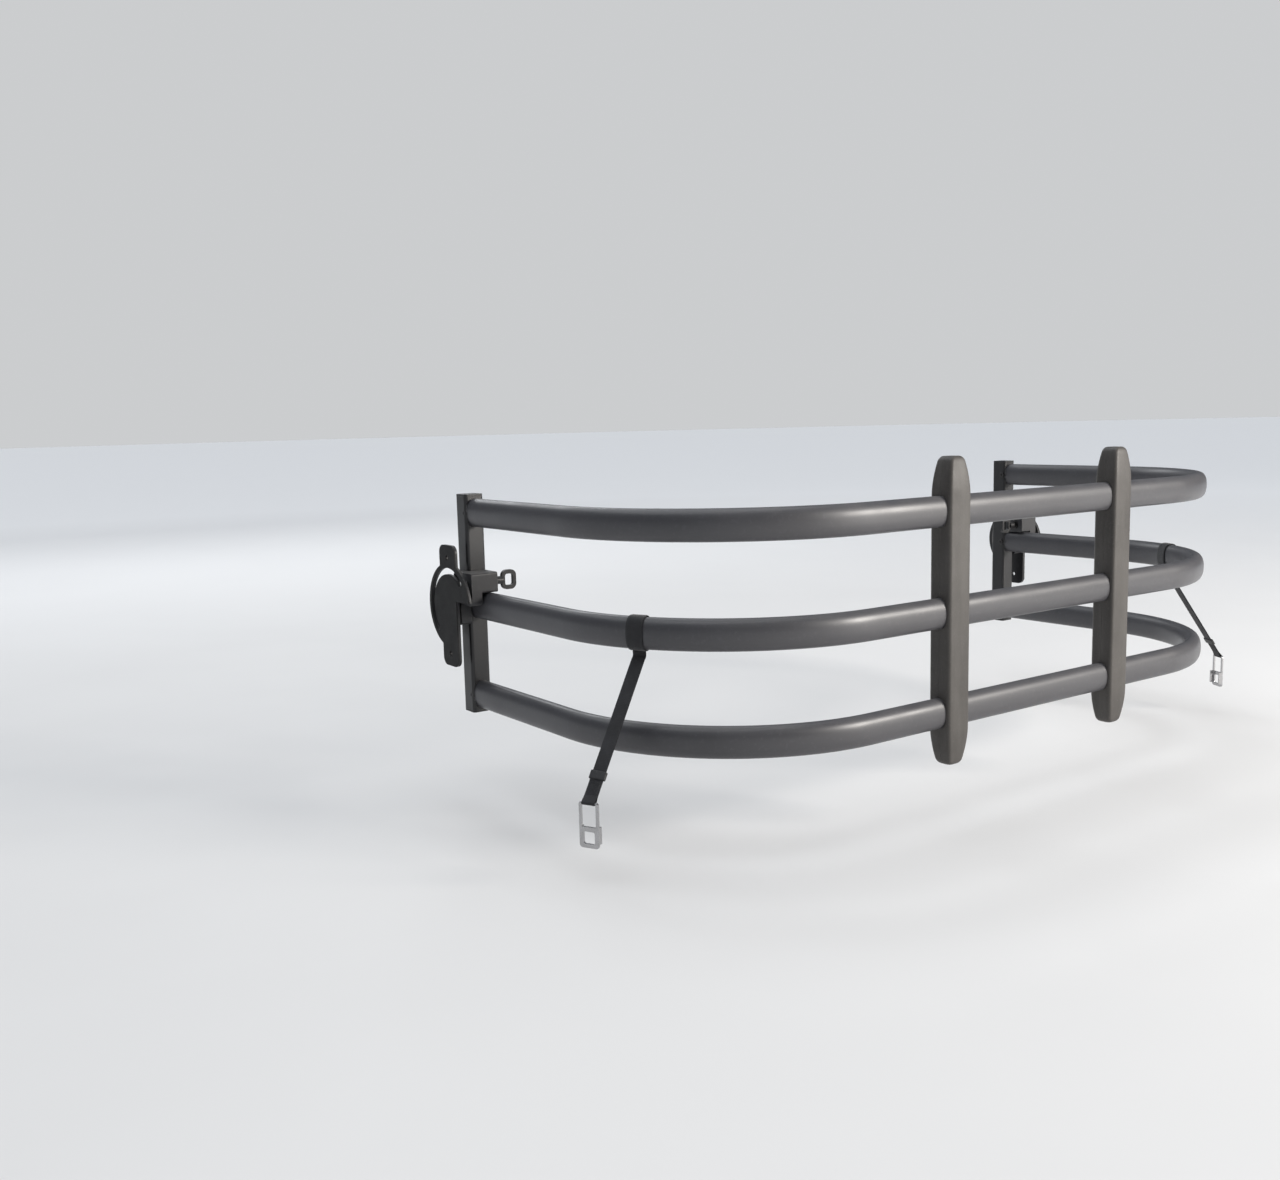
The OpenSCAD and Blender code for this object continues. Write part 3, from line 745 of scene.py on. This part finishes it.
def solid_from(bm, cutters):
    """The bmesh less the cutters, by an exact boolean, as a new bmesh."""
    objs = []
    for b in (bm, cutters):
        bmesh.ops.recalc_face_normals(b, faces=b.faces)
        mesh = bpy.data.meshes.new("cut")
        b.to_mesh(mesh)
        b.free()
        obj = bpy.data.objects.new("cut", mesh)
        bpy.context.scene.collection.objects.link(obj)
        objs.append(obj)
    mod = objs[0].modifiers.new("cut", "BOOLEAN")
    mod.operation, mod.solver, mod.object = "DIFFERENCE", "EXACT", objs[1]
    done = objs[0].evaluated_get(bpy.context.evaluated_depsgraph_get())
    out = bmesh.new()
    out.from_mesh(done.to_mesh())
    for obj in objs:
        bpy.data.objects.remove(obj)
    return out


def rod(bm, start, end, points):
    """A prism from start to end whose section is points, pairs in the plane across it."""
    ahead = (end - start).normalized()
    u = Vector((0, 0, 1)) if abs(ahead.z) < 0.9 else Vector((1, 0, 0))
    v = u.cross(ahead).normalized()
    u = ahead.cross(v)
    loft(bm, [[c + a * v + b * u for a, b in points] for c in (start, end)])


def upright(side, face):
    """One moulded half of an upright: softly rounded, drawn in at both ends, cut for the tubes
    and screws."""
    name = f"upright_{'front' if face > 0 else 'rear'}_{side}"
    lo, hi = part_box(name)
    cx = (lo.x + hi.x) / 2
    seam = lo.y if face > 0 else hi.y
    cy = seam - face * SEAM_GAP
    knee = hi.z - UP_TAPER

    def half_size(z):
        lost = drawn_in(max(0.0, (abs(z) - knee) / UP_TAPER))
        return UP_W - UP_SIDE_LOSS * lost, UP_D - UP_FACE_LOSS * lost

    upper = [knee + UP_TAPER * f for f in END_RINGS]
    heights = [-z for z in reversed(upper)] + [knee * i / 6 for i in range(-5, 6)] + upper
    bm = bmesh.new()
    rings = []
    for z in heights:
        w, d = half_size(z)
        rings.append([Vector((cx + x, cy + y, z)) for x, y in rounded(2 * w, 2 * d, UP_CORNER, 7)])
    loft(bm, rings)
    cut = bmesh.ops.bisect_plane(bm, geom=bm.verts[:] + bm.edges[:] + bm.faces[:], dist=1e-7,
                                 plane_co=(0, seam, 0), plane_no=(0, face, 0), clear_inner=True)
    edges = [e for e in cut["geom_cut"] if isinstance(e, bmesh.types.BMEdge)]
    bmesh.ops.holes_fill(bm, edges=edges)
    cutters = bmesh.new()
    for level in TUBE_LEVELS:
        rod(cutters, Vector((cx - 0.04, cy, level)), Vector((cx + 0.04, cy, level)),
            oval_points(0.0003))
    if face > 0:
        for z in SCREW_LEVELS:
            floor_y = cy + half_size(z)[1] - SCREW_DEEP
            rod(cutters, Vector((cx, floor_y, z)), Vector((cx, cy + 0.03, z)),
                circle_points(SCREW_WELL_R, 40))
    obj = slot_piece(f"{name}_shell", solid_from(bm, cutters), "composite", 35, "frame")
    bevel = obj.modifiers.new("bevel", "BEVEL")
    bevel.width, bevel.segments = 0.55 * MM, 2
    bevel.limit_method, bevel.angle_limit = "ANGLE", math.radians(38)
    bevel.harden_normals = True
    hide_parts(name)


for side in SIDES:
    for face in (-1, 1):
        upright(side, face)

# ---------- floor, world and lights ----------

FLOOR_Z = -0.345
FLOOR_RINGS = (2.0, 6.0, 18.0, 60.0)

bm = bmesh.new()
hub = bm.verts.new((0, 0, FLOOR_Z))
rows = [[bm.verts.new((x, y, FLOOR_Z)) for x, y in circle_points(r, 64)] for r in FLOOR_RINGS]
for k in range(64):
    bm.faces.new((hub, rows[0][k], rows[0][(k + 1) % 64]))
for a, b in zip(rows, rows[1:]):
    for k in range(64):
        bm.faces.new((a[k], b[k], b[(k + 1) % 64], a[(k + 1) % 64]))

# paper that pales with its distance, so that the floor stays light out to the horizon
m = Nodes("floor_paper")
at = m.coords()
tint = m.mix(m.noise(at, 1.3, 3.0), (0.70, 0.695, 0.688), (0.665, 0.66, 0.655))
far = m.remap(m.vector_math("LENGTH", at)["Value"], 2.0, 8.0)
m.bump(m.noise(at, 300.0, 2.0), 0.05, 0.2 * MM)
m.finish(m.mix(far, tint, (0.93, 0.93, 0.93)), m.remap(m.noise(at, 5.0), 0.3, 0.7, 0.7, 0.85))
finish_piece("floor", bm, m.mat, 180)

world = bpy.data.worlds.new("studio")
bpy.context.scene.world = world
world.use_nodes = True
tree = world.node_tree
up = tree.nodes.new("ShaderNodeSeparateXYZ")
tree.links.new(tree.nodes.new("ShaderNodeTexCoord").outputs["Generated"], up.inputs[0])
sky = tree.nodes.new("ShaderNodeValToRGB")
for stop, place, colour in zip(sky.color_ramp.elements, (0.0, 0.9),
                               ((0.05, 0.052, 0.056, 1), (0.20, 0.225, 0.265, 1))):
    stop.position, stop.color = place, colour
tree.links.new(up.outputs["Z"], sky.inputs[0])
seen = tree.nodes.new("ShaderNodeMix")
seen.data_type = "RGBA"
lit, shown = colour_sockets(seen.inputs)
ray = tree.nodes.new("ShaderNodeLightPath")
tree.links.new(ray.outputs["Is Camera Ray"], seen.inputs["Factor"])
tree.links.new(sky.outputs[0], lit)
shown.default_value = (0.60, 0.61, 0.62, 1)
tree.links.new(colour_sockets(seen.outputs)[0], tree.nodes["Background"].inputs["Color"])
bpy.context.scene.view_settings.view_transform = "Standard"


def area(name, place, target, size, power, colour):
    data = bpy.data.lights.new(name, "AREA")
    data.shape = "RECTANGLE"
    data.size, data.size_y = size
    data.energy = power
    data.color = colour
    obj = bpy.data.objects.new(name, data)
    bpy.context.scene.collection.objects.link(obj)
    obj.location = place
    obj.rotation_euler = (Vector(target) - Vector(place)).to_track_quat("-Z", "Y").to_euler()
    obj.visible_camera = False


area("key", (2.5, -4.3, 1.35), (0.1, -0.3, 0.0), (1.8, 1.3), 295, (1.0, 0.955, 0.90))
area("rim", (0.3, 4.6, 3.0), (-0.1, -0.3, 0.0), (4.0, 1.2), 75, (0.96, 0.98, 1.0))
sun = bpy.data.lights.new("overhead", "SUN")
sun.energy = 1.9
sun.angle = math.radians(75)
sun.color = (0.96, 0.98, 1.0)
overhead = bpy.data.objects.new("overhead", sun)
bpy.context.scene.collection.objects.link(overhead)
overhead.rotation_euler = (math.radians(-10), math.radians(-8), 0)
